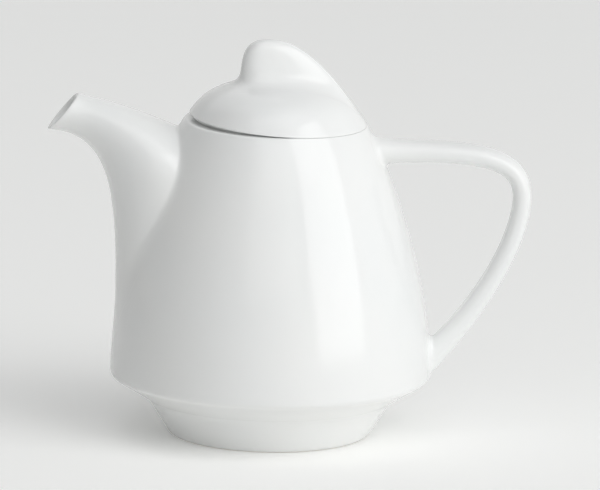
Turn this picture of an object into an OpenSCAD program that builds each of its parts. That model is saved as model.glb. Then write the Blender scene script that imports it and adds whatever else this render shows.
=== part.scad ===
// Porcelain coffee pot, about 0.6 litre: a slip-cast pot with a beak spout and an angular
// handle, and a loose domed lid with a fin-shaped knob. All sizes are in millimetres.
// +Z is up and the origin is on the pot's own axis, on the face that it stands on.
// The spout points along -X and the handle along +X.

/* [Pot body] */
// Widest diameter, low on the belly
belly_d = 113.2; // [100:0.2:124]
// Height of the widest place above the table
belly_z = 23; // [20:0.5:28]
// Length over which the flank leaves the belly, as a curve handle
belly_pull = 35; // [22:1:44]
// Roundness of the corner under the belly, as a curve handle
corner_pull = 3.7; // [2.5:0.1:5]
// Thickness of the body wall
body_wall = 3.4; // [2.6:0.1:4.5]
// Thickness of the floor
floor_t = 4; // [3:0.1:5.5]
// Rounding between the floor and the wall, inside
chamber_round = 16; // [12:0.5:18]

/* [Foot] */
// Diameter of the crease where the belly meets the foot
crease_d = 86; // [80:0.2:90]
// Height of that crease above the table
crease_z = 12.4; // [10:0.2:14]
// Rise of the underside from the crease, in degrees from level
underside_rise = 35; // [30:1:38]
// Outer diameter of the ring that stands on the table
stand_d = 72; // [64:0.2:76]
// Width of the bare flat that touches the table
stand_w = 2; // [1.2:0.1:3]
// Rounding beside that flat
stand_round = 1.2; // [0.6:0.1:1.6]
// Thickness of the foot wall, measured level
foot_wall = 6.4; // [5:0.1:8]

/* [Seam and lid] */
// Height of the seam on the axis
seam_z = 113.3; // [108:0.1:117]
// Diameter of the pot at the seam
seam_d = 62.8; // [58:0.2:68]
// How far the outline leans in at the seam, in degrees from plumb
seam_slope = 37; // [32:1:42]
// Slant of the seam, high at the spout, in degrees
seam_lean = 2.8; // [1:0.1:4]
// Depth and half height of the groove along the seam
seam_groove = 0.9; // [0.4:0.05:1.1]
// Length over which the flank bends in below the seam, as a curve handle
shoulder_pull = 11; // [7:0.5:16]
// Rise of the dome above the seam
dome_h = 13.3; // [11:0.1:17]
// Length over which the dome leaves the seam, as a curve handle
dome_pull = 7; // [4:0.5:8]
// Radius at which the dome turns level
crown_r = 27; // [20:0.5:29]
// Thickness of the lid wall
lid_wall = 3.2; // [2.6:0.1:4]
// Clear diameter of the mouth of the pot
mouth_d = 52.6; // [49:0.1:55]
// Height of the straight part of that mouth
mouth_land = 7; // [5:0.5:9]
// Height of the slope under that straight part
neck_slope_h = 5; // [3:0.5:7]
// Thickness of the lid's flange
flange_wall = 3; // [2.4:0.1:3.6]
// Depth of the flange below the seam
flange_depth = 15; // [11:0.5:20]
// Play of the flange in the mouth, on each side
flange_play = 0.6; // [0.3:0.05:0.9]
// Gap between the lid and the rim that it rests on
seat_gap = 0.3; // [0.2:0.05:0.4]

/* [Fin on the lid] */
// Rise of the fin's tip above the dome
fin_h = 14.8; // [11:0.1:19]
// How far in front of the axis the fin's face stands
fin_front = 12.2; // [9:0.1:14]
// How far inside the seam's circle the ridge runs out on the dome
fin_inset = 2.2; // [1.8:0.1:4]
// Length over which the ridge stays level behind the tip, as a curve handle
ridge_run = 12; // [8:0.5:15]
// Fall of the ridge's middle below the tip, as a curve handle
ridge_fall = 8; // [6:0.5:10]
// Thickness of the fin at half height
fin_t = 8.2; // [6:0.2:10]
// Width of the fin's root, where it spreads into the dome
fin_root_w = 21; // [15:0.5:25]

/* [Spout] */
// Height of the lowest point of the spout's root
root_low_z = 40; // [36:0.5:48]
// How far its highest point stays below the seam
root_drop = 4.3; // [3:0.1:8]
// Width of the root at mid height
root_w = 40; // [34:0.5:44]
// How far the lip reaches from the axis
lip_reach = 79.7; // [74:0.1:88]
// How far the lip's tip is below the seam
lip_drop = 5; // [1:0.1:9]
// Length of the mouth, from the tip to its upper edge
lip_length = 15.4; // [13:0.1:18]
// Rise of the mouth from the tip, in degrees from level
lip_rise = 50.5; // [42:0.5:60]
// Width of the mouth
lip_w = 15; // [12:0.2:18]
// Height over which the keel turns out to the lip, as a curve handle
keel_turn = 20; // [14:0.5:26]
// Length of the straight run above, out of the shoulder, as a curve handle
top_run = 10; // [6:0.5:14]
// Rise of that run
top_rise = 3.3; // [1:0.1:5]
// Height of solid clay at the foot of the keel, under the passage
keel_fill = 15; // [12:0.5:20]
// How far the lip flares
lip_flare = 0.7; // [0:0.1:1.2]
// Thickness of the spout wall
spout_wall = 3; // [2.4:0.1:3.6]
// Thickness of the lip
lip_t = 2.3; // [1.8:0.1:3]
// Diameter of the port through the body wall behind the spout
port_d = 20; // [14:0.5:24]
// Height of that port
port_z = 84; // [76:0.5:90]

/* [Handle] */
// How far the upper arm's centre line leaves the shoulder below the seam
arm_drop = 11.1; // [10:0.1:15]
// Length of the upper arm's straight run, as a curve handle
arm_run = 25; // [18:0.5:32]
// How far the handle reaches from the axis
handle_reach = 91.2; // [84:0.1:98]
// How far the outermost place is below the seam
corner_drop = 26.8; // [23:0.1:31]
// Length over which the lower arm leaves that place plumb, as a curve handle
corner_run = 16; // [10:0.5:22]
// Height at which the centre line of the lower arm runs into the belly
heel_z = 25; // [22:0.5:30]
// How far that line runs on inside the belly, measured level
heel_run = 12.5; // [10:0.5:14]
// How far it falls on the way
heel_fall = 8.6; // [6:0.2:10]
// Share of its half thickness by which the underside tucks in there
heel_tuck = 0.8; // [0.6:0.05:0.9]
// Thickness of the upper arm, seen from the side
arm_t = 8; // [6.4:0.1:9]
// Thickness at the corner and down the lower arm
grip_t = 6.7; // [5.4:0.1:8]
// Thickness where the lower arm meets the belly
heel_t = 11; // [8:0.2:12]
// Width of the upper arm, seen from above
arm_w = 14; // [11:0.2:17]
// Width of the lower arm
grip_w = 11; // [9:0.2:14]
// How far the handle spreads all round where it is stuck to the body
root_spread = 2; // [0:0.2:3]

/* [Joins] */
// Slip joint between pieces that are stuck together before firing
lute = 0.08; // [0.05:0.01:0.12]

/* [Hidden] */
porcelain = "#eef0ef";
$fn = 120;

CURVE_STEPS = 14;   // straight steps in each curve of the outline
SOLVE_STEPS = 22;   // halvings that find a place on a curve
CAP_STEPS = 7;      // rings that close a stuck-on end

beyond = belly_d;   // reach of a cutting block past what it cuts
stub = 7;           // how far the upper arm runs on inside the wall, before it is trimmed
belly_r = belly_d / 2;
crease_r = crease_d / 2;
seam_r = seam_d / 2;
mouth_r = mouth_d / 2;
flange_r = mouth_r - flange_play;
flange_in_r = flange_r - flange_wall;
inner_floor_z = crease_z + floor_t;
dome_z = seam_z + dome_h;
fin_z = dome_z + fin_h;
root_high_z = seam_z - root_drop;
lip_z = seam_z - lip_drop;
arm_z = seam_z - arm_drop;
corner_z = seam_z - corner_drop;

// ---- Curves ----

function lerp(a, b, t) = a + (b - a) * t;

function bezier(p, t) = let (u = 1 - t)
    u*u*u * p[0] + 3*u*u*t * p[1] + 3*u*t*t * p[2] + t*t*t * p[3];

function bezier_slope(p, t) = let (u = 1 - t)
    3*u*u * (p[1] - p[0]) + 6*u*t * (p[2] - p[1]) + 3*t*t * (p[3] - p[2]);

function along(p) = [for (i = [0:CURVE_STEPS]) bezier(p, i / CURVE_STEPS)];

// The same curve, moved in by a wall thickness
function inside(p, wall) = [for (i = [0:CURVE_STEPS])
    let (t = i / CURVE_STEPS, d = bezier_slope(p, t))
    bezier(p, t) + wall * [-d.y, d.x] / norm(d)];

// Place on a curve at which one coordinate (0 or 1) passes a value
function solve(p, axis, value, lo = 0, hi = 1, n = SOLVE_STEPS) =
    let (mid = (lo + hi) / 2, rising = p[3][axis] > p[0][axis])
    n == 0 ? mid
    : (bezier(p, mid)[axis] < value) == rising ? solve(p, axis, value, mid, hi, n - 1)
    : solve(p, axis, value, lo, mid, n - 1);

// ---- Outline shared by the pot and its lid, as [radius, height] ----

crease = [crease_r, crease_z];
belly = [belly_r, belly_z];
seam = [seam_r, seam_z];
underside_dir = [cos(underside_rise), sin(underside_rise)];
seam_dir = [-sin(seam_slope), cos(seam_slope)];
underside_pull = 0.92 * (belly_r - crease_r) / underside_dir.x;

UNDERSIDE = [crease, crease + underside_pull * underside_dir, belly - [0, corner_pull], belly];
FLANK = [belly, belly + [0, belly_pull], seam - shoulder_pull * seam_dir, seam];
DOME = [seam, seam + dome_pull * seam_dir, [crown_r, dome_z], [0, dome_z]];

function curve_at(z) = z < belly_z ? UNDERSIDE : z < seam_z ? FLANK : DOME;

// Radius of the outside of the pot at a height, and height of the dome at a radius
function outer_r(z) = z >= dome_z ? 0
    : bezier(curve_at(z), solve(curve_at(z), 1, max(z, crease_z))).x;
function outer_z(r) = bezier(DOME, solve(DOME, 0, r)).y;

// Is a point outside the pot, lid included?
function is_outside(p) = norm([p.x, p.y]) > outer_r(p.z) + lute;

// A point moved level to the outside wall, or plumb to the dome
function on_wall(p) = let (r = norm([p.x, p.y]), k = (outer_r(p.z) + lute) / r)
    [p.x * k, p.y * k, p.z];
function on_dome(p) = [p.x, p.y, outer_z(norm([p.x, p.y])) + lute];

// ---- Solids from rings of points ----

// Rings of equal length, joined one to the next. A tube joins its last ring to its first,
// and anything else is closed by its end rings.
module ring_solid(rings, tube = false) {
    count = len(rings);
    m = len(rings[0]);
    last = tube ? count - 1 : count - 2;
    sides = [for (i = [0:last], j = [0:m - 1], half = [0, 1])
        let (a = i * m, b = ((i + 1) % count) * m, k = (j + 1) % m)
        half == 0 ? [a + j, b + j, b + k] : [a + j, b + k, a + k]];
    ends = tube ? [] : concat(
        [for (j = [1:m - 2]) [0, j, j + 1]],
        [for (j = [1:m - 2]) let (e = (count - 1) * m) [e, e + j + 1, e + j]]);
    polyhedron([for (ring = rings) each ring], concat(sides, ends), convexity = 6);
}

function middle(ring) = [for (k = [0:2]) let (v = [for (p = ring) p[k]]) (min(v) + max(v)) / 2];

// Place on a rib at which it leaves the pot; the rib starts inside it, or ends inside it
function leaves(rib, lo, hi, n = SOLVE_STEPS) = let (mid = (lo + hi) / 2)
    n == 0 ? mid : is_outside(rib(mid)) ? leaves(rib, lo, mid, n - 1) : leaves(rib, mid, hi, n - 1);

// Round section with slightly squared sides
function rounded(v) = sign(v) * pow(abs(v), 0.88);

// ---- Pot body ----

module outer_form() {
    rotate_extrude()
        polygon(concat([[0, crease_z]], along(UNDERSIDE), along(FLANK), along(DOME)));
}

// Everything above the seam, which slants down towards the handle
module above_seam(lift = 0) {
    translate([0, 0, seam_z + lift])
        rotate([0, seam_lean, 0])
            translate([-beyond, -beyond, 0])
                cube([2 * beyond, 2 * beyond, beyond]);
}

// The groove that the eye sees along the seam: a ring of diamond section, set on the slant
module groove() {
    shift = seam_r * tan(seam_lean) * tan(seam_slope);
    translate([0, 0, seam_z])
        rotate([0, seam_lean, 0])
            translate([shift, 0, 0])
                rotate_extrude()
                    translate([seam_r, seat_gap / 2])
                        polygon(seam_groove * [[-1, 0], [0, -1], [1, 0], [0, 1]]);
}

module chamber() {
    neck_z = seam_z - mouth_land;
    shoulder_z = neck_z - neck_slope_h;
    wall_r = belly_r - body_wall;
    turn_z = inner_floor_z + chamber_round;
    TURN = [[wall_r - chamber_round, inner_floor_z], [wall_r - 0.4 * chamber_round, inner_floor_z],
            [wall_r, turn_z - chamber_round / 2], [wall_r, turn_z]];
    side = [for (p = inside(FLANK, body_wall)) if (p.y > turn_z && p.y < shoulder_z) p];
    rotate_extrude()
        polygon(concat(
            [[0, inner_floor_z]],
            along(TURN),
            side,
            [[mouth_r, neck_z], [mouth_r, seam_z + beyond], [0, seam_z + beyond]]));
}

module pot_body() {
    color(porcelain)
        difference() {
            outer_form();
            chamber();
            above_seam();
            groove();
            translate([0, 0, port_z])
                rotate([0, -90, 0])
                    cylinder(d = port_d, h = belly_r);
        }
}

// ---- Foot ----

module foot_ring() {
    stand_r = stand_d / 2;
    flat_r = stand_r - stand_round;
    flat_in_r = flat_r - stand_w;
    color(porcelain)
        rotate_extrude()
            polygon([
                [flat_in_r, 0],
                [flat_r, 0],
                [stand_r - 0.3 * stand_round, 0.3 * stand_round],
                [stand_r, stand_round],
                [crease_r, crease_z],
                [crease_r - foot_wall, crease_z],
                [flat_in_r - stand_round, stand_round]]);
}

// ---- Spout ----

SPOUT_RIBS = 44;
SPOUT_RINGS = 16;

lip_dir = [cos(lip_rise), 0, sin(lip_rise)];
lip_tip = [-lip_reach, 0, lip_z];
lip_mid = lip_tip + lip_dir * lip_length / 2;

// Root on the body wall: an egg, broad above and narrow below
function root_point(a, low, high, w) =
    let (z = lerp(low, high, (1 + cos(a)) / 2),
         y = w / 2 * sin(a) * (1 + 0.6 * cos(a)),
         r = outer_r(z) + lute)
    [-sqrt(r * r - y * y), y, z];

// Edge of the mouth: an egg, drawn to a point at the tip
function lip_point(a, inset) =
    lip_mid + lip_dir * (lip_length / 2 - inset) * cos(a)
    + [0, (lip_w / 2 - inset) * sin(a) * (1 + 0.22 * cos(a)), 0];

// Each rib of the spout is a curve from the root to the mouth. Below it climbs the belly as a
// keel before it turns out to the lip; above it runs straight out.
function rib_out(a) = let (up = (1 + cos(a)) / 2)
    lerp([0.05 * lip_length, 0, lip_z - root_low_z - keel_turn], [-top_run, 0, top_rise], up);
function rib_in(a) = let (up = (1 + cos(a)) / 2)
    lerp([0.94 * (lip_reach - belly_r), 0, -0.14 * lip_length], [top_run, 0, -0.05 * lip_length], up);

function spout_rib(a) = let (root = root_point(a, root_low_z, root_high_z, root_w),
        lip = lip_point(a, 0))
    [root, root + rib_out(a), lip + rib_in(a), lip];

function toward(p, centre, d) = p + d * (centre - p) / norm(centre - p);

function passage_rib(a) = let (
        rib = spout_rib(a),
        facing = spout_rib(a + 180),
        mid1 = (rib[1] + facing[1]) / 2,
        mid2 = (rib[2] + facing[2]) / 2)
    [root_point(a, root_low_z + keel_fill, root_high_z - 1.5 * spout_wall, root_w - 2 * spout_wall),
     toward(rib[1], mid1, spout_wall), toward(rib[2], mid2, spout_wall), lip_point(a, lip_t)];

// The last part of each rib turns out a little
function flared(p, a, t) = let (k = max(0, (t - 0.8) / 0.2))
    p + lip_flare * k * k * (lip_dir * cos(a) + [0, sin(a), 0]);

module spout() {
    turns = [for (j = [0:SPOUT_RIBS - 1]) 360 * j / SPOUT_RIBS];
    steps = [for (i = [0:SPOUT_RINGS]) i / SPOUT_RINGS];
    outer = [for (t = steps) [for (a = turns) flared(bezier(spout_rib(a), t), a, t)]];
    inner = [for (t = steps) [for (a = turns) flared(bezier(passage_rib(a), 1 - t), a, 1 - t)]];
    color(porcelain)
        ring_solid(concat(outer, inner), tube = true);
}

// ---- Handle ----

HANDLE_SIDES = 38;
HANDLE_RINGS = 42;
HEEL_SAMPLES = 180;

corner = [handle_reach - grip_t / 2, 0, corner_z];
ARM = [[outer_r(arm_z) - stub, 0, arm_z], [outer_r(arm_z) + arm_run, 0, arm_z],
       [corner.x, 0, arm_z + 0.3 * arm_t], corner];
GRIP = [corner, corner - [0, 0, corner_run], [belly_r + corner_run, 0, heel_z + corner_run],
        [belly_r - heel_run, 0, heel_z - heel_fall]];

// The upper arm takes the first 0.45 of the way round, and the lower arm the rest
ARM_SHARE = 0.45;
function handle_mid(s) = s < ARM_SHARE ? bezier(ARM, s / ARM_SHARE)
    : bezier(GRIP, (s - ARM_SHARE) / (1 - ARM_SHARE));
function handle_dir(s) = let (d = s < ARM_SHARE ? bezier_slope(ARM, s / ARM_SHARE)
    : bezier_slope(GRIP, (s - ARM_SHARE) / (1 - ARM_SHARE))) d / norm(d);

// Half thickness and half width along the handle, and how far it spreads towards its ends
function handle_half(s) = let (
        a = min(1, s / ARM_SHARE),
        g = max(0, (s - ARM_SHARE) / (1 - ARM_SHARE)))
    [lerp(lerp(arm_t, grip_t, a), heel_t, pow(g, 4)) / 2,
     lerp(lerp(arm_w, grip_w, a), arm_w, pow(g, 4)) / 2];
function spread(s) = root_spread * pow(max(0, 1 - min(s, 1 - s) / 0.13), 2);

// The underside of the heel doesn't spread: it runs straight on towards the foot, and tucks in
// over the last 0.03 of the way
function handle_point(s, a) =
    let (d = handle_dir(s), half = handle_half(s), more = spread(s), out = [d.z, 0, -d.x],
         tuck = 1 - heel_tuck * max(0, 1 - (1 - s) / 0.03),
         thick = s > 0.5 && cos(a) < 0 ? half[0] * tuck : half[0] + more)
    handle_mid(s) + out * thick * rounded(cos(a)) + [0, (half[1] + more) * rounded(sin(a)), 0];

// A ring that closes an end: it shrinks to the middle and lies on the body wall
function cap(ring, k) = let (c = middle(ring)) [for (p = ring) on_wall(lerp(c, p, k))];

function arm_start(a) = leaves(function (s) handle_point(s, a), 0, 0.2);
function heel_stop(a) = 1 - leaves(function (s) handle_point(1 - s, a), 0, 0.3);

// Directions round the handle, chosen so that the points of its last ring are evenly spaced,
// also where the heel runs over the corner under the belly
function even_turns() = let (
        edge = [for (i = [0:HEEL_SAMPLES]) let (a = 360 * i / HEEL_SAMPLES)
            handle_point(heel_stop(a), a)],
        table = [for (i = 0, sum = 0; i <= HEEL_SAMPLES;
            sum = sum + norm(edge[min(i + 1, HEEL_SAMPLES)] - edge[i]), i = i + 1)
            [sum, 360 * i / HEEL_SAMPLES]],
        total = table[HEEL_SAMPLES][0])
    [for (j = [0:HANDLE_SIDES - 1]) lookup(total * j / HANDLE_SIDES, table)];

module handle() {
    turns = even_turns();
    starts = [for (a = turns) arm_start(a)];
    stops = [for (a = turns) heel_stop(a)];
    rings = [for (i = [0:HANDLE_RINGS]) [for (j = [0:HANDLE_SIDES - 1])
        handle_point(lerp(starts[j], stops[j], i / HANDLE_RINGS), turns[j])]];
    first = rings[0];
    final = rings[HANDLE_RINGS];
    color(porcelain)
        ring_solid(concat(
            [for (i = [1:CAP_STEPS - 1]) cap(first, i / CAP_STEPS)],
            rings,
            [for (i = [1:CAP_STEPS - 1]) cap(final, 1 - i / CAP_STEPS)]));
}

// ---- Lid ----

module lid_hollow() {
    ceiling = [for (p = inside(DOME, lid_wall)) if (p.x < flange_in_r && p.x >= 0) p];
    low_z = seam_z - beyond;
    rotate_extrude()
        polygon(concat(
            [[0, low_z], [flange_in_r, low_z], [flange_in_r, ceiling[0].y]],
            ceiling,
            [[0, dome_z - lid_wall]]));
}

module lid_dome() {
    color(porcelain)
        difference() {
            intersection() {
                outer_form();
                above_seam(seat_gap);
            }
            lid_hollow();
            groove();
        }
}

module lid_flange() {
    color(porcelain)
        difference() {
            translate([0, 0, seam_z - flange_depth])
                cylinder(r = flange_r, h = 2 * flange_depth);
            lid_hollow();
            above_seam(seat_gap);
        }
}

// ---- Fin ----

FIN_SIDES = 32;
FIN_RINGS = 18;

fin_back = seam_r - fin_inset;
fin_tip = [-0.16 * fin_front, 0, fin_z];
FIN_FACE = [fin_tip, [-1.06 * fin_front, 0, fin_z], [-0.96 * fin_front, 0, fin_z - fin_h / 2],
            [-1.06 * fin_front, 0, dome_z - 0.2 * fin_h]];
FIN_RIDGE = [fin_tip, fin_tip + [ridge_run, 0, 0], [0.6 * fin_back, 0, fin_z - ridge_fall],
             [fin_back, 0, seam_z + 0.22 * dome_h]];
FIN_HALF = [[0, 0], [fin_t * 0.61, 0], [fin_t * 0.32, 0], [fin_root_w / 2, 0]];

function fin_point(t, a) =
    let (face = bezier(FIN_FACE, t), ridge = bezier(FIN_RIDGE, t), half = bezier(FIN_HALF, t).x)
    (face + ridge) / 2 + (face - ridge) / 2 * cos(a)
    + [0, half * sin(a) * (1 + 0.3 * cos(a)), 0];

// The fin runs down into the dome, so its ribs are read from the root up
module lid_fin() {
    turns = [for (j = [0:FIN_SIDES - 1]) 360 * j / FIN_SIDES];
    stops = [for (a = turns) 1 - leaves(function (t) fin_point(1 - t, a), 0, 0.9)];
    rings = [for (i = [1:FIN_RINGS]) [for (j = [0:FIN_SIDES - 1])
        fin_point(stops[j] * i / FIN_RINGS, turns[j])]];
    base = rings[FIN_RINGS - 1];
    c = middle(base);
    color(porcelain)
        ring_solid(concat(
            rings,
            [for (i = [1:CAP_STEPS - 1]) [for (p = base) on_dome(lerp(p, c, i / CAP_STEPS))]]));
}

pot_body();
foot_ring();
spout();
handle();
lid_dome();
lid_flange();
lid_fin();
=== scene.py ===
import math
import bmesh
import bpy
import mathutils
import numpy as np
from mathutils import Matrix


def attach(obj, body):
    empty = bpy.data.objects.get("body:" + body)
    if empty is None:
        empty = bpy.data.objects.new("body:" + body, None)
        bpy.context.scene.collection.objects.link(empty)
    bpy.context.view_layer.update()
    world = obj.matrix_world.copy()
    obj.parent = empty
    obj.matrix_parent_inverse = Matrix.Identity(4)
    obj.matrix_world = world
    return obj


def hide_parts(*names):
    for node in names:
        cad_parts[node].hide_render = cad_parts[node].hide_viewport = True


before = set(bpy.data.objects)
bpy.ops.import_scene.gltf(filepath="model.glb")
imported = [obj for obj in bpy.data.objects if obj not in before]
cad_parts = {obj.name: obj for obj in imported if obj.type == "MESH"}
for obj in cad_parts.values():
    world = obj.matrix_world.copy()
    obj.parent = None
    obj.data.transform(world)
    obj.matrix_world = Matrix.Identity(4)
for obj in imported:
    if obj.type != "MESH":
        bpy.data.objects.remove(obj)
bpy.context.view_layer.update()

# ---- Pot body ----
# The hollow bell-shaped body with its floor and its mouth. It is hard-paste porcelain, cast from
# slip in a plaster mould, trimmed at the mouth, dipped in clear glaze and fired. The rim is cut on
# a slant, and a round port is cut through the wall behind the spout.

MM = 0.001
AROUND = 192                        # columns round a turned piece
WELD, HARD_EDGE = 1e-7, math.radians(50)    # in metres; corners sharper than this stay sharp

# The glazed outside from crease to crown: places as radius and height, and how far each curve
# runs on straight from its ends.
CREASE = np.array([43.0, 12.4])     # the sharp turn between foot and belly
BELLY = np.array([56.57, 23.0])     # the widest place
SEAM = np.array([31.4, 113.3])      # where pot and lid meet
DOME_TOP = 126.6
UNDERSIDE_RISE = math.radians(35)
UNDERSIDE_REACH = 0.92              # as a share of the way from crease to belly
BELLY_BELOW, BELLY_ABOVE = 3.7, 35.0
SEAM_SLOPE = math.radians(37)       # how far neck and dome lean in at the seam
SEAM_BELOW, SEAM_ABOVE = 11.0, 7.0
CROWN_R = 23.5
SHOULDER_Z = 104.0                  # above it, the rows slant with the seam

# The inside.
BODY_WALL = 3.4
FLOOR_TOP = 16.4
UNDER_ROWS, FLOOR_ROWS = (0, 12, 24, 36), (26, 16, 8, 0)    # radii of the rows on the flat faces
CHAMBER_ROUND = 16.0                # radius of the turn from wall to floor
CHAMBER_PULL = 0.4                  # how far that turn keeps to the floor
MOUTH_R, MOUTH_ROUND = 26.3, 0.8
NECK_Z, NECK_SLOPE, NECK_ROUND = 106.3, 5.0, 1.0
NECK_TURNS = (0.2, 0.75)            # between these shares the neck's slope is straight
WALL_TURN = 2.0                     # how far from the neck and the floor the wall is straight

# The seam is a wedge of shadow, open at the spout and all but shut at the handle.
SEAM_LEAN = math.tan(math.radians(2.8))
SEAM_DROP = 0.6                     # how far the lid's edge hangs below the seat that it rests on
AJAR_FROM = 0.25                    # cosine of the turn from which the gap opens
GAP_SHUT, GAP_OPENS, GAP_CURVE = 0.02, 1.35, 0.9
EDGE_ROUND, EDGE_ROUNDER = 0.25, 0.6
GROOVE_R, GROOVE_SHALLOWER = 27.9, 2.0      # the gap goes in less deep at the handle
GROOVE_SPAN, GROOVE_CURVE = 1.4, 1.5        # how its depth changes round the turn
GROOVE_ROUND, GROOVE_TURN, SEAT_ROUND = 0.4, 0.4, 0.3       # its corners, low and high

PORT_D, PORT_Z = 20.0, 84.0
DRILL_X, DRILL_LENGTH, DRILL_SIDES = -55.0, 40.0, 64


def bezier(p, t):
    """Places on a cubic curve."""
    t = np.asarray(t, float)[..., None]
    u = 1 - t
    return u**3 * p[0] + 3 * u * u * t * p[1] + 3 * u * t * t * p[2] + t**3 * p[3]


def lerp(a, b, t):
    """A share t of the way from a to b."""
    return a + (b - a) * t


rise = np.array([math.cos(UNDERSIDE_RISE), math.sin(UNDERSIDE_RISE)])
lean_in = np.array([-math.sin(SEAM_SLOPE), math.cos(SEAM_SLOPE)])
reach = UNDERSIDE_REACH * (BELLY[0] - CREASE[0]) / rise[0]
UNDERSIDE = [CREASE, CREASE + reach * rise, BELLY - [0, BELLY_BELOW], BELLY]
FLANK = [BELLY, BELLY + [0, BELLY_ABOVE], SEAM - SEAM_BELOW * lean_in, SEAM]
DOME = [
    SEAM, SEAM + SEAM_ABOVE * lean_in,
    np.array([CROWN_R, DOME_TOP]), np.array([0.0, DOME_TOP]),
]

steps = np.linspace(0, 1, 400)
OUTLINE = np.concatenate([
    bezier(UNDERSIDE, steps), bezier(FLANK, steps)[1:], bezier(DOME, steps)[1:],
])


def outline_r(z):
    """Radius of the glazed outside at a height."""
    return np.interp(z, OUTLINE[:, 1], OUTLINE[:, 0])


def offset_in(curve, wall):
    """A curve of the outline, moved in by a wall."""
    p = bezier(curve, steps)
    d = np.gradient(p, axis=0)
    d /= np.linalg.norm(d, axis=1)[:, None]
    return p + wall * np.stack([-d[:, 1], d[:, 0]], 1)


inner = offset_in(FLANK, BODY_WALL)


def inner_r(z):
    """Radius of the chamber's wall at a height."""
    return np.interp(z, inner[:, 1], inner[:, 0])


turns = np.arange(AROUND) * 2 * math.pi / AROUND
COS, SIN = np.cos(turns), np.sin(turns)


def ring(r, z):
    """One row of a turned piece; r and z are numbers, or change round it."""
    r, z = np.broadcast_to(r, COS.shape), np.broadcast_to(z, COS.shape)
    return np.stack([r * COS, r * SIN, z], 1)


def corner(start, edge, end, count=5):
    """Rows round a softened corner, without the first."""
    rows = []
    for t in np.linspace(0, 1, count + 1)[1:]:
        r = (1 - t) ** 2 * start[0] + 2 * t * (1 - t) * edge[0] + t * t * end[0]
        z = (1 - t) ** 2 * start[1] + 2 * t * (1 - t) * edge[1] + t * t * end[1]
        rows.append(ring(r, z))
    return rows


def on_seam(r, over=0.0):
    """A place on the slanted plane of the seam, which is high at the spout, or over it."""
    return r, SEAM[1] - SEAM_LEAN * r * COS + over


ajar = np.clip((AJAR_FROM - COS) / (1 + AJAR_FROM), 0, 1)     # 1 at the spout, 0 at the handle
edge_round = EDGE_ROUND + EDGE_ROUNDER * ajar


def seam_edge(z, side):
    """Rows round the outer edge at the seam; the pot's side of it is -1 and the lid's is 1."""
    r, beside = outline_r(z), z + side * edge_round
    return corner((outline_r(beside), beside), (r, z), (r - edge_round, z))


def skin(name, rows, material, body, nodes):
    """A closed skin of quads through rows of points, in mm, that rides on a body."""
    rows = np.asarray(rows) * MM
    count, columns = rows.shape[:2]
    looped = not np.allclose(rows[0], rows[0][0])
    faces = []
    for i in range(count if looped else count - 1):
        a, b = i * columns, ((i + 1) % count) * columns
        for j in range(columns):
            k = (j + 1) % columns
            faces.append((a + j, a + k, b + k, b + j))
    mesh = bpy.data.meshes.new(name)
    mesh.from_pydata(rows.reshape(-1, 3).tolist(), [], faces)
    bm = bmesh.new()
    bm.from_mesh(mesh)
    bmesh.ops.remove_doubles(bm, verts=bm.verts, dist=WELD)
    bmesh.ops.recalc_face_normals(bm, faces=bm.faces)
    bm.to_mesh(mesh)
    bm.free()
    mesh.shade_smooth()
    mesh.set_sharp_from_angle(angle=HARD_EDGE)
    mesh.materials.append(material)
    piece = bpy.data.objects.new(name, mesh)
    bpy.context.scene.collection.objects.link(piece)
    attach(piece, body)
    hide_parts(*nodes)
    return piece


def linear(hex_colour):
    """An sRGB hex colour as linear light."""
    c = np.array([int(hex_colour[i : i + 2], 16) / 255 for i in (1, 3, 5)])
    c = np.where(c <= 0.04045, c / 12.92, ((c + 0.055) / 1.055) ** 2.4)
    return (*c, 1.0)


def add(tree, kind, settings=None, **inputs):
    """A node with its settings; an input is a value, or the socket that feeds it."""
    node = tree.nodes.new(kind)
    for key, value in (settings or {}).items():
        setattr(node, key, value)
    for key, value in inputs.items():
        number = key[1:]
        socket = node.inputs[int(number) if number.isdigit() else key.replace("_", " ")]
        if isinstance(value, bpy.types.NodeSocket):
            tree.links.new(value, socket)
        else:
            socket.default_value = value
    return node


# Clear feldspar glaze over white porcelain, dipped and glost fired: a hard wet gloss, an almost
# neutral white that wavers a little with the glaze's thickness, and a faint orange peel.
THIN_GLAZE, THICK_GLAZE = "#eff1f1", "#f5f5f3"
POOL_ACROSS, WAVE_ACROSS, PEEL_ACROSS = 45.0, 22.0, 2.8     # in mm
WAVE_OVER_PEEL = 6.0                # the slow wave stands this much higher than the peel
RELIEF_DEPTH = 0.02

glaze = bpy.data.materials.new("clear_glaze_on_white_porcelain")
glaze.use_nodes = True
tree = glaze.node_tree
tree.nodes.clear()
place = add(tree, "ShaderNodeTexCoord").outputs["Object"]


def mottle(tree, place, across, detail):
    """A soft random pattern whose patches are 'across' mm wide."""
    scale = 1 / (across * MM)
    noise = add(tree, "ShaderNodeTexNoise", Vector=place, Scale=scale, Detail=detail)
    return noise.outputs["Fac"]


pool = mottle(tree, place, POOL_ACROSS, 2.0)
white = add(
    tree, "ShaderNodeMix", {"data_type": "RGBA"},
    Factor=pool, _6=linear(THIN_GLAZE), _7=linear(THICK_GLAZE),
)
both = add(
    tree, "ShaderNodeMath", {"operation": "MULTIPLY_ADD"},
    _0=mottle(tree, place, WAVE_ACROSS, 1.0), _1=WAVE_OVER_PEEL,
    _2=mottle(tree, place, PEEL_ACROSS, 1.0),
)
relief = add(
    tree, "ShaderNodeBump",
    Strength=0.35, Distance=RELIEF_DEPTH * MM, Height=both.outputs[0],
)
gloss = add(tree, "ShaderNodeMapRange", Value=pool, To_Min=0.10, To_Max=0.16)
shell = add(
    tree, "ShaderNodeBsdfPrincipled",
    Base_Color=white.outputs[2], Roughness=gloss.outputs[0], Normal=relief.outputs[0], IOR=1.52,
)
add(tree, "ShaderNodeOutputMaterial", Surface=shell.outputs[0])

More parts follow.
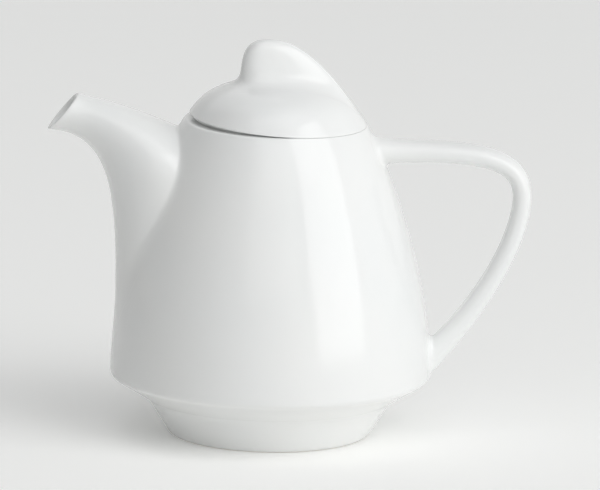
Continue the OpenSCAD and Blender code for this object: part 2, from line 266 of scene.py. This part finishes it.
# The pot's edge at the seam lies the gap's height below the lid's.
drop_z = on_seam(SEAM[0])[1] - SEAM_DROP
rim_z = drop_z - (GAP_SHUT + GAP_OPENS * ajar**GAP_CURVE)
groove_r = GROOVE_R + GROOVE_SHALLOWER * np.clip((1 + COS) / GROOVE_SPAN, 0, 1) ** GROOVE_CURVE

flank = bezier(FLANK, np.linspace(0, 1, 60))
flank = flank[(flank[:, 1] > BELLY[1]) & (flank[:, 1] < SHOULDER_Z)]
rows = [ring(r, CREASE[1]) for r in (*UNDER_ROWS, CREASE[0])]
rows += [ring(*p) for p in bezier(UNDERSIDE, np.linspace(0, 1, 22)[1:])]
rows += [ring(*p) for p in flank]
for v in np.linspace(0, 1, 9):
    z = lerp(SHOULDER_Z, rim_z - edge_round, v)
    rows.append(ring(outline_r(z), z))
rows += seam_edge(rim_z, -1)

groove_in = (groove_r + GROOVE_ROUND, rim_z)
groove_up = (groove_r, lerp(rim_z, on_seam(groove_r)[1], GROOVE_TURN))
rows.append(ring(*groove_in))
rows += corner(groove_in, (groove_r, rim_z), groove_up, 3)
rows += corner(
    on_seam(groove_r, -SEAT_ROUND), on_seam(groove_r), on_seam(groove_r - SEAT_ROUND), 3,
)
mouth_out, mouth_in = on_seam(MOUTH_R + MOUTH_ROUND), on_seam(MOUTH_R, -MOUTH_ROUND)
rows.append(ring(*mouth_out))
rows += corner(mouth_out, on_seam(MOUTH_R), mouth_in)
rows += [ring(MOUTH_R, lerp(mouth_in[1], NECK_Z + NECK_ROUND, v)) for v in (0.5, 1)]

neck_foot = NECK_Z - NECK_SLOPE
neck = np.array([MOUTH_R, NECK_Z]), np.array([inner_r(neck_foot), neck_foot])
slope_in, slope_out = [lerp(*neck, share) for share in NECK_TURNS]
turn_top = FLOOR_TOP + CHAMBER_ROUND
inner_z = np.linspace(neck_foot - WALL_TURN, turn_top + WALL_TURN, 34)
rows += corner((MOUTH_R, NECK_Z + NECK_ROUND), neck[0], slope_in, 4)
rows.append(ring(*slope_out))
rows += corner(slope_out, neck[1], (inner_r(inner_z[0]), inner_z[0]))
rows += [ring(inner_r(z), z) for z in inner_z[1:]]

wall = BELLY[0] - BODY_WALL
floor_turn = np.array([
    (wall, turn_top), (wall, turn_top - CHAMBER_ROUND / 2),
    (wall - CHAMBER_PULL * CHAMBER_ROUND, FLOOR_TOP), (wall - CHAMBER_ROUND, FLOOR_TOP),
])
rows += [ring(*p) for p in bezier(floor_turn, np.linspace(0, 1, 14))]
rows += [ring(r, FLOOR_TOP) for r in FLOOR_ROWS]
pot = skin("pot_body_glazed", rows, glaze, "pot", ["pot_body"])

bpy.ops.mesh.primitive_cylinder_add(
    vertices=DRILL_SIDES, radius=PORT_D / 2 * MM, depth=DRILL_LENGTH * MM,
    location=(DRILL_X * MM, 0, PORT_Z * MM), rotation=(0, math.pi / 2, 0),
)
drill = bpy.context.object
cut = pot.modifiers.new("port", "BOOLEAN")
cut.object = drill
cut.solver = "EXACT"
bpy.context.view_layer.objects.active = pot
bpy.ops.object.modifier_apply(modifier="port")
bpy.data.objects.remove(drill)

# ---- Foot ring ----
# The flared ring that the pot stands on. It is turned on the cast body while the clay is leather
# hard. The glaze pools in the crease above it, and is wiped off the face that stands on the kiln
# shelf, which shows bare, fine-grained porcelain.

COVE = 1.6                          # how far the glaze fills the crease, each way
HAIR, HAIR_INSIDE = 0.008, 0.01     # keep the two skins off each other where they meet
FLARE_TOWARD = np.array([36.0, 1.2])        # the outside slants from the crease to here
FLARE_LOW_Z, FLARE_ROUND = 1.7, 0.95        # where its low edge starts to round off
STAND_OUT_R, STAND_MID_R, STAND_IN_R = 34.2, 33.6, 32.9     # the flat face that stands
INSIDE_LOW, INSIDE_EDGE_R = np.array([31.6, 1.2]), 31.8
FOOT_WALL = 6.4
RECESS_TURN, RECESS_ROUND = 0.82, 2.6       # the turn from the ring's inside to the floor above
BURIED = 0.8                        # how far the ring reaches up into the body

down_foot = FLARE_TOWARD - CREASE
down_foot /= np.linalg.norm(down_foot)
cove_start = CREASE + COVE * rise + [HAIR, -HAIR]
cove_end = CREASE + COVE * down_foot
low_out = CREASE + down_foot * (CREASE[1] - FLARE_LOW_Z) / -down_foot[1]
inside_top = np.array([CREASE[0] - FOOT_WALL, CREASE[1]])
recess_start = lerp(INSIDE_LOW, inside_top, RECESS_TURN)
recess_end = (inside_top[0] - RECESS_ROUND, CREASE[1] - HAIR_INSIDE)

rows = [ring(*cove_start)]
rows += corner(cove_start, CREASE, cove_end, 7)
rows += [ring(*lerp(cove_end, low_out, v)) for v in (0.25, 0.5, 0.75, 1)]
rows += corner(low_out, (low_out[0] - FLARE_ROUND, 0), (STAND_OUT_R, 0), 7)
rows += [ring(STAND_MID_R, 0), ring(STAND_IN_R, 0)]
rows += corner((STAND_IN_R, 0), (INSIDE_EDGE_R, 0), INSIDE_LOW)
rows += [ring(*lerp(INSIDE_LOW, inside_top, v)) for v in (0.3, 0.6, RECESS_TURN)]
rows += corner(recess_start, inside_top, recess_end, 6)
rows += [ring(r, CREASE[1] + BURIED) for r in (inside_top[0], CREASE[0] - 1)]

# The same glaze, and below the wiped line bare porcelain: dry, a little warmer and not shiny.
BARE_PORCELAIN = "#e6e1d8"
GRIT_ACROSS, GRIT_DEPTH = 0.6, 0.03         # in mm, as all the sizes here are
WIPE_ACROSS, WIPE_WAVERS = 6.0, 0.3
WIPE_LOW_Z, WIPE_HIGH_Z = 0.04, 0.10

foot_glaze = glaze.copy()
foot_glaze.name = "glazed_foot_with_bare_standing_face"
tree = foot_glaze.node_tree
shell = next(n for n in tree.nodes if n.type == "BSDF_PRINCIPLED")
out = next(n for n in tree.nodes if n.type == "OUTPUT_MATERIAL")
place = next(n for n in tree.nodes if n.type == "TEX_COORD").outputs["Object"]
grit_bump = add(
    tree, "ShaderNodeBump",
    Strength=0.5, Distance=GRIT_DEPTH * MM, Height=mottle(tree, place, GRIT_ACROSS, 2.0),
)
bare = add(
    tree, "ShaderNodeBsdfPrincipled",
    Base_Color=linear(BARE_PORCELAIN), Roughness=0.75, Normal=grit_bump.outputs[0], IOR=1.5,
)
height = add(tree, "ShaderNodeSeparateXYZ", Vector=place)
wiped_line = add(
    tree, "ShaderNodeMath", {"operation": "MULTIPLY_ADD"},
    _0=mottle(tree, place, WIPE_ACROSS, 2.0), _1=-WIPE_WAVERS * MM, _2=height.outputs["Z"],
)
wiped = add(
    tree, "ShaderNodeMapRange", Value=wiped_line.outputs[0],
    From_Min=WIPE_LOW_Z * MM, From_Max=WIPE_HIGH_Z * MM, To_Min=1.0, To_Max=0.0,
)
foot_mix = add(
    tree, "ShaderNodeMixShader",
    Fac=wiped.outputs[0], _1=shell.outputs[0], _2=bare.outputs[0],
)
tree.links.new(foot_mix.outputs[0], out.inputs["Surface"])
skin("foot_ring_glazed", rows, foot_glaze, "pot", ["foot_ring"])

# ---- Spout ----
# The hollow beak that is cast by itself and stuck over the port with slip. It is a keel up the
# belly, broad at the shoulder, and ends in a slanted, rounded lip. The slip that is pressed out is
# sponged to a small fillet all round.

SPOUT_COLUMNS = 96
SPOUT_WALL = 3.0
ROOT_LOW, ROOT_HIGH, ROOT_W, ROOT_EGG = 40.0, 109.0, 40.0, 0.6
LIP_TIP = np.array([-79.7, 0, 108.3])
LIP_RISE = math.radians(50.5)
LIP_LENGTH, LIP_W, LIP_EGG, LIP_T = 15.4, 15.0, 0.12, 2.3   # LIP_T is the lip's own thickness
FLARE, FLARE_SHARE = 0.7, 0.2       # the last share of each rib turns out by so much
KEEL_FILL = 15.0                    # how high the passage starts above the keel's foot
KEEL_FULL, BEAK_FULL = 0.3, 0.9     # what the lower half is fuller by, at the root and further out

# How a rib leaves the root and how it comes back from the lip, in the keel and on the top.
KEEL_TURN = 20.0                    # the keel stops climbing this far below the lip
KEEL_OUT = np.array([0.77, 0, LIP_TIP[2] - ROOT_LOW - KEEL_TURN])
KEEL_BACK = np.array([21.7, 0, -2.16])
TOP_OUT = np.array([-10.0, 0, 3.3])
TOP_BACK = np.array([10.0, 0, -0.77])

# The slip fillet: its width on the body, and how far off the body it leaves the spout.
SLIP_KEEL, SLIP_TOP, SLIP_CURVE = 8.0, 2.0, 0.7
LEAVE_KEEL, LEAVE_TOP, LEAVE_LATEST = 2.4, 1.0, 0.16

# The rounded lip, and the funnel that leads from it into the passage.
LIP_ROUND, LIP_OVER, FUNNEL_TURN, FUNNEL_DEPTH = 0.8, 0.6, 1.2, 4

LIP_DIR = np.array([math.cos(LIP_RISE), 0, math.sin(LIP_RISE)])
LIP_MID = LIP_TIP + LIP_DIR * LIP_LENGTH / 2


def unit(v):
    """Each row of v at a length of 1."""
    return v / np.linalg.norm(v, axis=1)[:, None]


def sideways(y):
    """A step to the side for each column."""
    return np.stack([0 * y, y, 0 * y], 1)


def nearest_outside(p):
    """Nearest place on the turned outside, the way out from there, and how far out p is."""
    r = np.hypot(p[..., 0], p[..., 1])
    q = np.stack([r, p[..., 2]], -1).reshape(-1, 2)
    a, b = OUTLINE[:-1], OUTLINE[1:]
    d = b - a
    t = np.clip(((q[:, None] - a) * d).sum(-1) / (d * d).sum(-1), 0, 1)
    foot = a + t[..., None] * d
    best = np.argmin(((q[:, None] - foot) ** 2).sum(-1), axis=1)
    foot = foot[np.arange(len(q)), best]
    n = unit(np.stack([d[best, 1], -d[best, 0]], 1))
    out = ((q - foot) * n).sum(1)
    away = np.stack([p[..., 0], p[..., 1]], -1).reshape(-1, 2) / np.maximum(r.reshape(-1, 1), 1e-9)
    foot = np.concatenate([foot[:, :1] * away, foot[:, 1:]], 1)
    n = np.concatenate([n[:, :1] * away, n[:, 1:]], 1)
    return foot.reshape(p.shape), n.reshape(p.shape), out.reshape(r.shape)


def cross(rib, columns, inside, outside, gap=0.0):
    """Where on each rib it is a gap away from the turned outside, between two places on it."""
    lo, hi = np.full(columns, float(inside)), np.full(columns, float(outside))
    for _ in range(30):
        mid = (lo + hi) / 2
        out = nearest_outside(rib(mid))[2] > gap
        hi, lo = np.where(out, mid, hi), np.where(out, lo, mid)
    return (lo + hi) / 2


SLIP_PULL = 0.42                    # how far the fillet's curve keeps to each surface
SLIP_PROUD = 0.02                   # how far its edge stands off the body
A_LITTLE = 1e-3                     # a short step along a rib, to find which way it runs
TOE_OUT, TOE_DEEP = 0.4, 0.03       # the skin goes on outwards and ends under the body's surface


def fillet(rib, at, on, width, count):
    """Rows of a slip fillet, from the turned outside up to where each rib is at 'on'; 'at' is where
    the rib meets the outside."""
    edge = rib(at)
    foot, n, _ = nearest_outside(edge)
    away = unit(np.cross(n, np.roll(edge, -1, 0) - np.roll(edge, 1, 0)))
    if ((foot - foot.mean(0)) * away).sum() < 0:
        away = -away
    width = np.reshape(width, (-1, 1))
    toe, n, _ = nearest_outside(foot + away * (width + TOE_OUT))
    toe = toe - TOE_DEEP * n
    start, n, _ = nearest_outside(foot + away * width)
    start = start + SLIP_PROUD * n
    end = rib(on)
    leave = unit(end - rib(on - A_LITTLE * np.sign(on - at)))
    span = end - start
    size = np.linalg.norm(span, axis=1)[:, None]
    go = unit(span - (span * n).sum(1)[:, None] * n)
    p = [start, start + SLIP_PULL * size * go, end - SLIP_PULL * size * leave, end]
    return [toe] + [bezier(p, np.full(len(start), t)) for t in np.linspace(0, 1, count + 1)]


a = np.arange(SPOUT_COLUMNS) * 2 * math.pi / SPOUT_COLUMNS
high = (1 + np.cos(a)) / 2          # 1 on the spout's top, 0 along its keel
low = ((1 - np.cos(a)) / 2) ** 2


def root_point(low_z, high_z, width, fuller=1.0):
    """Egg-shaped root on the belly's wall, broad above."""
    z = lerp(low_z, high_z, high)
    y = width / 2 * np.sin(a) * (1 + ROOT_EGG * np.cos(a)) * fuller
    r = outline_r(z)
    return np.stack([-np.sqrt(r * r - y * y), y, z], 1)


def lip_point(inset):
    """Egg-shaped edge of the mouth, pointed at the tip."""
    along = (LIP_LENGTH / 2 - inset) * np.cos(a)
    side = (LIP_W / 2 - inset) * np.sin(a) * (1 + LIP_EGG * np.cos(a))
    return LIP_MID + LIP_DIR * along[:, None] + sideways(side)


def widened(p, more):
    """Places pushed to the side by a share of how far out they are."""
    return p * (1 + sideways(more))


root = root_point(ROOT_LOW, ROOT_HIGH, ROOT_W, 1 + KEEL_FULL * low)
lip = lip_point(0)
outer_ribs = [
    root,
    widened(root + lerp(KEEL_OUT, TOP_OUT, high[:, None]), KEEL_FULL * low),
    widened(lip + lerp(KEEL_BACK, TOP_BACK, high[:, None]), BEAK_FULL * low),
    lip,
]


def one_wall_in(p):
    """Places moved in by the spout's wall, towards the far side."""
    facing = np.roll(p, SPOUT_COLUMNS // 2, 0)
    return p + SPOUT_WALL * unit((p + facing) / 2 - p)


passage_ribs = [
    root_point(ROOT_LOW + KEEL_FILL, ROOT_HIGH - 1.5 * SPOUT_WALL, ROOT_W - 2 * SPOUT_WALL),
    one_wall_in(outer_ribs[1]),
    one_wall_in(outer_ribs[2]),
    lip_point(LIP_T),
]
turn_out = LIP_DIR * np.cos(a)[:, None] + sideways(np.sin(a))


def flared(ribs, t):
    """A place on the ribs, which turn out towards the lip."""
    late = np.maximum(0, (t - (1 - FLARE_SHARE)) / FLARE_SHARE)[:, None]
    return bezier(ribs, t) + FLARE * late ** 2 * turn_out


def outer_rib(t):
    """The spout's outside; t runs from root to lip, with one value for each column."""
    return flared(outer_ribs, t)


at = np.zeros(SPOUT_COLUMNS)
leave_gap = lerp(LEAVE_KEEL, LEAVE_TOP, high)
on = cross(outer_rib, SPOUT_COLUMNS, inside=0.0, outside=0.6, gap=leave_gap)
on = np.minimum(on, LEAVE_LATEST)
rows = fillet(outer_rib, at, on, lerp(SLIP_KEEL, SLIP_TOP, high ** SLIP_CURVE), count=12)

length = np.linalg.norm(lip - root, axis=1)
near_lip = 1 - LIP_ROUND / length
rows += [outer_rib(lerp(on, near_lip, v)) for v in np.linspace(0, 1, 60)[1:]]
start, edge = rows[-1], outer_rib(np.ones(SPOUT_COLUMNS))
crest = edge - LIP_OVER * turn_out
for t in (0.2, 0.4, 0.6, 0.8, 1):
    rows.append((1 - t) ** 2 * start + 2 * t * (1 - t) * edge + t * t * crest)
deep = 1 - FUNNEL_DEPTH / length
funnel = [
    crest, crest - LIP_ROUND * turn_out,
    flared(passage_ribs, 1 - FUNNEL_TURN / length), flared(passage_ribs, deep),
]
rows += [bezier(funnel, np.full(SPOUT_COLUMNS, t)) for t in np.linspace(0, 1, 11)[1:]]
rows += [flared(passage_ribs, deep * v) for v in np.linspace(1, 0, 26)[1:]]
skin("spout_glazed", rows, glaze, "pot", ["spout"])

# ---- Handle ----
# The angular loop, pressed solid from plastic porcelain in a two-part mould and stuck to shoulder
# and belly with slip. Its section is a rounded oval that is widest where it is stuck on.

HANDLE_COLUMNS = 64
REACH, CORNER_Z, ARM_Z, HEEL_Z = 91.18, 86.5, 102.2, 25.0
ARM_T, GRIP_T, HEEL_T = 8.0, 6.7, 11.0
ARM_W, GRIP_W = 14.0, 11.0
ARM_SHARE = 0.45                    # the share of the way that is the arm; the rest is the grip
ARM_HIDDEN, ARM_LEVEL, ARM_HUMP = 7, 25, 0.3        # it starts inside the body and runs out level
GRIP_PLUMB, GRIP_LEAN = 16, 16      # it drops plumb, then leans in to the heel
HEEL_HIDDEN, HEEL_DROP = 12.5, 8.6  # where it ends, inside the body and below HEEL_Z
SPREAD, SPREAD_SHARE = 1.0, 0.13    # how much thicker the ends are, and over what share of the way
TUCK, TUCK_SHARE = 0.8, 0.03        # the heel's underside slims so that it stays inside the body
OVAL = 0.88                         # below 1, the oval's sides are fuller
SLIP_SHOULDER, SLIP_HEEL = 2.2, 2.6
SLIP_UP, SLIP_LONGEST = 2.0, 0.05   # where the fillets leave the handle
HANDLE_DEEP = 3.0                   # how far inside the body the handle's ends close

far = np.array([REACH - GRIP_T / 2, 0, CORNER_Z])
arm_r = outline_r(ARM_Z)
ARM = [
    np.array([arm_r - ARM_HIDDEN, 0, ARM_Z]),
    np.array([arm_r + ARM_LEVEL, 0, ARM_Z]),
    np.array([far[0], 0, ARM_Z + ARM_HUMP * ARM_T]),
    far,
]
GRIP = [
    far,
    far - [0, 0, GRIP_PLUMB],
    np.array([BELLY[0] + GRIP_LEAN, 0, HEEL_Z + GRIP_LEAN]),
    np.array([BELLY[0] - HEEL_HIDDEN, 0, HEEL_Z - HEEL_DROP]),
]
b = np.arange(HANDLE_COLUMNS) * 2 * math.pi / HANDLE_COLUMNS


def rounded(v, power):
    """A sine or cosine bent to a fuller or a leaner curve."""
    return np.sign(v) * np.abs(v) ** power


def handle_mid(s):
    """The middle line of the handle."""
    arm, grip = bezier(ARM, s / ARM_SHARE), bezier(GRIP, (s - ARM_SHARE) / (1 - ARM_SHARE))
    return np.where((s < ARM_SHARE)[:, None], arm, grip)


def handle_rib(s):
    """The handle's surface; s runs from shoulder to belly, with one value for each column."""
    d = unit(handle_mid(s + 1e-4) - handle_mid(s - 1e-4))
    first = np.clip(s / ARM_SHARE, 0, 1)
    late = np.clip((s - ARM_SHARE) / (1 - ARM_SHARE), 0, 1) ** 4
    more = SPREAD * np.maximum(0, 1 - np.minimum(s, 1 - s) / SPREAD_SHARE) ** 2
    thick = lerp(lerp(ARM_T, GRIP_T, first), HEEL_T, late) / 2
    wide = lerp(lerp(ARM_W, GRIP_W, first), ARM_W, late) / 2 + more
    tuck = 1 - TUCK * np.maximum(0, 1 - (1 - s) / TUCK_SHARE)
    thick = np.where((s > 0.5) & (np.cos(b) < 0), thick * tuck, thick + more)
    out = np.stack([d[:, 2], 0 * s, -d[:, 0]], 1) * (thick * rounded(np.cos(b), OVAL))[:, None]
    return handle_mid(s) + out + sideways(wide * rounded(np.sin(b), OVAL))


def closed(row):
    """The row that closes the handle inside the body, where all its columns meet."""
    hub = nearest_outside(row.mean(0)[None])[0] - [HANDLE_DEEP, 0, 0]
    return np.repeat(hub, HANDLE_COLUMNS, 0)


shoulder_at = cross(handle_rib, HANDLE_COLUMNS, inside=0.0, outside=0.2)
shoulder_on = cross(handle_rib, HANDLE_COLUMNS, inside=0.0, outside=0.25, gap=SLIP_UP)
shoulder_on = np.minimum(shoulder_on, shoulder_at + SLIP_LONGEST)
heel_at = cross(handle_rib, HANDLE_COLUMNS, inside=1.0, outside=0.7)
heel_on = cross(handle_rib, HANDLE_COLUMNS, inside=1.0, outside=0.7, gap=SLIP_UP)
heel_on = np.maximum(heel_on, heel_at - SLIP_LONGEST)
shoulder_end = fillet(handle_rib, shoulder_at, shoulder_on, SLIP_SHOULDER, count=8)
heel_end = fillet(handle_rib, heel_at, heel_on, SLIP_HEEL, count=8)
rows = [closed(shoulder_end[0])] + shoulder_end
rows += [handle_rib(lerp(shoulder_on, heel_on, v)) for v in np.linspace(0, 1, 90)[1:-1]]
rows += heel_end[::-1] + [closed(heel_end[0])]
skin("handle_glazed", rows, glaze, "pot", ["handle"])

# ---- Lid ----
# The loose domed lid with its deep locating flange, cast in one with it or stuck in while leather
# hard. It rests on the slanted rim, and a shadow gap shows between the two edges.

LID_WALL = 3.2
LID_SHUT, LID_OPENS = 0.05, 0.36    # how far its edge is up at the handle, and more at the spout
DOME_LOW = 5.0                      # below this over the seam, the dome's rows slant with it
SEAT_GAP = 0.3
GROOVE_PLAY = 0.45                  # the lid's groove is this much less deep than the pot's
SKIRT_ROUND = 0.3
FLANGE_R, FLANGE_IN_R, FLANGE_Z = 25.7, 22.7, 98.3
FLANGE_ROOT, FLANGE_UP, FLANGE_ROUND = 1.0, 0.7, 1.0
FLANGE_OUT_ROWS, FLANGE_IN_ROWS = (108.0, 104.0), (104.0, 110.0)    # heights of its rows
COVE_IN = 2.5                       # the turn from the flange's inside to the dome's

lid_z = drop_z + LID_SHUT + LID_OPENS * ajar
crown = bezier(DOME, np.linspace(1, 0, 60))
crown = crown[crown[:, 1] > SEAM[1] + DOME_LOW]
rows = [ring(*p) for p in crown]
for v in np.linspace(0, 1, 10)[1:]:
    z = lerp(crown[-1][1], lid_z + edge_round, v)
    rows.append(ring(outline_r(z), z))
rows += seam_edge(lid_z, 1)

skirt_r = groove_r + GROOVE_PLAY
skirt_out = (skirt_r + SKIRT_ROUND, lid_z)
skirt_up = (skirt_r, lerp(lid_z, on_seam(skirt_r, SEAT_GAP)[1], 0.5))
rows.append(ring(*skirt_out))
rows += corner(skirt_out, (skirt_r, lid_z), skirt_up, 3)
rows.append(ring(*on_seam(skirt_r, SEAT_GAP)))

flange_out = on_seam(FLANGE_R + FLANGE_ROOT, SEAT_GAP)
rows.append(ring(*flange_out))
rows += corner(flange_out, on_seam(FLANGE_R, SEAT_GAP), on_seam(FLANGE_R, -FLANGE_UP))
flange_low = FLANGE_Z + FLANGE_ROUND
middle = (lerp(FLANGE_R, FLANGE_IN_R, 0.5), FLANGE_Z)
rows += [ring(FLANGE_R, z) for z in (*FLANGE_OUT_ROWS, flange_low)]
rows += corner((FLANGE_R, flange_low), (FLANGE_R, FLANGE_Z), middle)
rows += corner(middle, (FLANGE_IN_R, FLANGE_Z), (FLANGE_IN_R, flange_low))

under = offset_in(DOME, LID_WALL)
under_z = under[under[:, 0] < FLANGE_IN_R][0][1]
under = under[(under[:, 0] < FLANGE_IN_R - COVE_IN) & (under[:, 0] >= 0)]
rows += [ring(FLANGE_IN_R, z) for z in (*FLANGE_IN_ROWS, under_z - COVE_IN)]
rows += corner((FLANGE_IN_R, under_z - COVE_IN), (FLANGE_IN_R, under_z), under[0], 7)
rows += [ring(*p) for p in under[:: max(1, len(under) // 24)]]
rows.append(ring(0, DOME_TOP - LID_WALL))
skin("lid_glazed", rows, glaze, "lid", ["lid_dome", "lid_flange"])

# ---- Fin ----
# The fin-shaped knob, pressed solid and stuck on the dome. Its face stands nearly plumb towards
# the spout, and its back runs down into the dome like a wave.

FIN_COLUMNS = 72
FIN_Z, FIN_H, FIN_FRONT, FIN_BACK = 141.34, 14.8, 12.2, 29.2
FIN_T, FIN_ROOT_W = 8.2, 21.0
FIN_DEEP = 3.0                      # how far the closed root lies inside the dome

# The face, the ridge down the back and the half width, each a curve from the tip to the root.
TIP_FORWARD, FACE_FORWARD, FACE_HOLLOW, FACE_SUNK = 0.16, 1.06, 0.96, 0.2
CREST_RUN, BACK_BEND, BACK_DROP, BACK_LOW = 9.5, 0.6, 8.0, 0.22
TOP_FULL, WAIST_SLIM = 0.75, 0.3    # as shares of the fin's thickness
TIP = np.array([-TIP_FORWARD * FIN_FRONT, 0, FIN_Z])
FIN_FACE = [
    TIP,
    np.array([-FACE_FORWARD * FIN_FRONT, 0, FIN_Z]),
    np.array([-FACE_HOLLOW * FIN_FRONT, 0, FIN_Z - FIN_H / 2]),
    np.array([-FACE_FORWARD * FIN_FRONT, 0, DOME_TOP - FACE_SUNK * FIN_H]),
]
FIN_RIDGE = [
    TIP,
    TIP + [CREST_RUN, 0, 0],
    np.array([BACK_BEND * FIN_BACK, 0, FIN_Z - BACK_DROP]),
    np.array([FIN_BACK, 0, lerp(SEAM[1], DOME_TOP, BACK_LOW)]),
]
FIN_HALF = [
    np.array([half]) for half in (0.0, TOP_FULL * FIN_T, WAIST_SLIM * FIN_T, FIN_ROOT_W / 2)
]

# Its level section is an egg: the face is blunt, the back thin, and the front the wider half.
FACE_BLUNT, FLANKS_FULL, FIN_EGG = 0.7, 0.85, 0.3
SLIP_BACK, SLIP_FACE, SLIP_TO_FACE = 2.4, 6.0, 0.35
SLIP_OVER, SLIP_TALLEST = 4.2, 0.4

c = np.arange(FIN_COLUMNS) * 2 * math.pi / FIN_COLUMNS
along = np.where(np.cos(c) > 0, rounded(np.cos(c), FACE_BLUNT), np.cos(c))
across = rounded(np.sin(c), FLANKS_FULL) * (1 + FIN_EGG * np.cos(c))


def fin_rib(t):
    """The fin's surface; t runs from tip to root, with one value for each column."""
    face, ridge, half = bezier(FIN_FACE, t), bezier(FIN_RIDGE, t), bezier(FIN_HALF, t)[:, 0]
    return (face + ridge) / 2 + (face - ridge) / 2 * along[:, None] + sideways(half * across)


foot_at = cross(fin_rib, FIN_COLUMNS, inside=1.0, outside=0.1)
foot_on = cross(fin_rib, FIN_COLUMNS, inside=1.0, outside=0.1, gap=SLIP_OVER)
foot_on = np.maximum(foot_on, foot_at - SLIP_TALLEST)
slip_width = lerp(SLIP_BACK, SLIP_FACE, ((1 + np.cos(c)) / 2) ** SLIP_TO_FACE)
fin_root = fillet(fin_rib, foot_at, foot_on, slip_width, count=14)
rows = [fin_rib(foot_on * v) for v in np.linspace(0, 1, 40)]
rows += fin_root[::-1][1:]
hub = fin_root[0].mean(0)[None] - [0, 0, FIN_DEEP]
rows.append(np.repeat(hub, FIN_COLUMNS, 0))
skin("lid_fin_glazed", rows, glaze, "lid", ["lid_fin"])

# ---- Floor, lights and camera ----
# A wide sheet of pale matt paper, laid down as a studio does. Paper scatters light evenly and so
# takes a soft shadow. It is the stage, and no part of the pot.

PAPER_WHITE = "#f8f8f6"
PAPER_GLOW = 0.125                  # lifts the sheet to the white of the backdrop
SHEET = 12                          # in metres, as all the sizes of the room are

paper = bpy.data.materials.new("matt_white_paper")
paper.use_nodes = True
shell = paper.node_tree.nodes["Principled BSDF"]
shell.inputs["Base Color"].default_value = linear(PAPER_WHITE)
shell.inputs["Roughness"].default_value = 0.9
shell.inputs["Emission Color"].default_value = (1, 1, 1, 1)
shell.inputs["Emission Strength"].default_value = PAPER_GLOW
bpy.ops.mesh.primitive_plane_add(size=SHEET, location=(0, 0, 0))
sheet = bpy.context.object
sheet.name = "floor"
sheet.data.materials.append(paper)

# The room: the camera and the gloss see a pale backdrop, and all else gets a dim grey light that
# is brighter at the handle's side than at the spout's.
BACKDROP, ROOM_GREY = "#f0f0ee", "#e8eaec"
ROOM_LEVEL, ROOM_SLOPE = 0.3, 0.3

world = bpy.data.worlds.new("studio")
bpy.context.scene.world = world
world.use_nodes = True
tree = world.node_tree
tree.nodes.clear()
path = add(tree, "ShaderNodeLightPath")
seen = add(
    tree, "ShaderNodeMath", {"operation": "MAXIMUM"},
    _0=path.outputs["Is Camera Ray"], _1=path.outputs["Is Glossy Ray"],
)
way_out = add(tree, "ShaderNodeTexCoord")
tilt = add(
    tree, "ShaderNodeVectorMath", {"operation": "DOT_PRODUCT"},
    _0=way_out.outputs["Generated"], _1=(ROOM_SLOPE, 0, 0),
)
level = add(
    tree, "ShaderNodeMath", {"operation": "ADD", "use_clamp": True},
    _0=tilt.outputs["Value"], _1=ROOM_LEVEL,
)
room = add(tree, "ShaderNodeBackground", Color=linear(ROOM_GREY), Strength=level.outputs[0])
backdrop = add(tree, "ShaderNodeBackground", Color=linear(BACKDROP), Strength=1.0)
sky = add(
    tree, "ShaderNodeMixShader", Fac=seen.outputs[0], _1=room.outputs[0], _2=backdrop.outputs[0],
)
add(tree, "ShaderNodeOutputWorld", Surface=sky.outputs[0])

# Five large softboxes, all as far from the pot's middle. The main one stands to the right, in
# front, and is tall and narrow, so its reflection is an upright band on the belly; the others
# only fill.
LAMP_AWAY, POT_MIDDLE = 4.0, 0.07
LAMPS = [
    # name, degrees to the right of the front, degrees up, width, height, watts
    ("main_softbox", 54, 28, 3.0, 4.4, 70),
    ("top_softbox", 20, 58, 4.5, 3.5, 30),
    ("ceiling_softbox", 0, 85, 3.0, 3.0, 14),
    ("front_softbox", 0, 35, 3.0, 3.0, 13),
    ("back_softbox", -150, 50, 3.0, 3.0, 13),
]
for name, azimuth, elevation, width, height, watts in LAMPS:
    az, el = math.radians(azimuth), math.radians(elevation)
    way = np.array([math.sin(az) * math.cos(el), -math.cos(az) * math.cos(el), math.sin(el)])
    data = bpy.data.lights.new(name, "AREA")
    data.shape = "RECTANGLE"
    data.size, data.size_y = width, height
    data.energy = watts
    light = bpy.data.objects.new(name, data)
    bpy.context.scene.collection.objects.link(light)
    light.location = way * LAMP_AWAY + [0, 0, POT_MIDDLE]
    light.visible_camera = False
    light.rotation_mode = "QUATERNION"
    light.rotation_quaternion = mathutils.Vector(way).to_track_quat("Z", "Y")

# The camera stands far off with a long lens, looks down a little and leans. It is aimed so that
# the middle of the pot's foot lands on FOOT_AT, counted in pixels from the frame's top left.
FRAME = np.array([600, 490])
FOOT_AT = np.array([268.8, 431.0])
PIXEL = 0.354 * MM
ELEVATION, ROLL = math.radians(12.0), math.radians(1.1)
AWAY, SENSOR = 6.0, 36

right = np.array([1.0, 0, 0])
over = np.array([0, math.sin(ELEVATION), math.cos(ELEVATION)])
forward = np.array([0, math.cos(ELEVATION), -math.sin(ELEVATION)])
dx, dy = FRAME / 2 - FOOT_AT
aim = right * (math.cos(ROLL) * dx + math.sin(ROLL) * dy) * PIXEL
aim = aim - over * (-math.sin(ROLL) * dx + math.cos(ROLL) * dy) * PIXEL
turned = np.eye(4)
turned[:3, 0] = right * math.cos(ROLL) + over * math.sin(ROLL)
turned[:3, 1] = over * math.cos(ROLL) - right * math.sin(ROLL)
turned[:3, 2] = -forward
turned[:3, 3] = aim - forward * AWAY

lens = bpy.data.cameras.new("camera")
lens.sensor_width = SENSOR
lens.lens = AWAY * SENSOR / (FRAME[0] * PIXEL)
lens.clip_start, lens.clip_end = 0.1, 50
camera = bpy.data.objects.new("camera", lens)
bpy.context.scene.collection.objects.link(camera)
camera.matrix_world = mathutils.Matrix(turned.tolist())
bpy.context.scene.camera = camera
bpy.context.scene.view_settings.view_transform = "Standard"

bpy.context.view_layer.update()
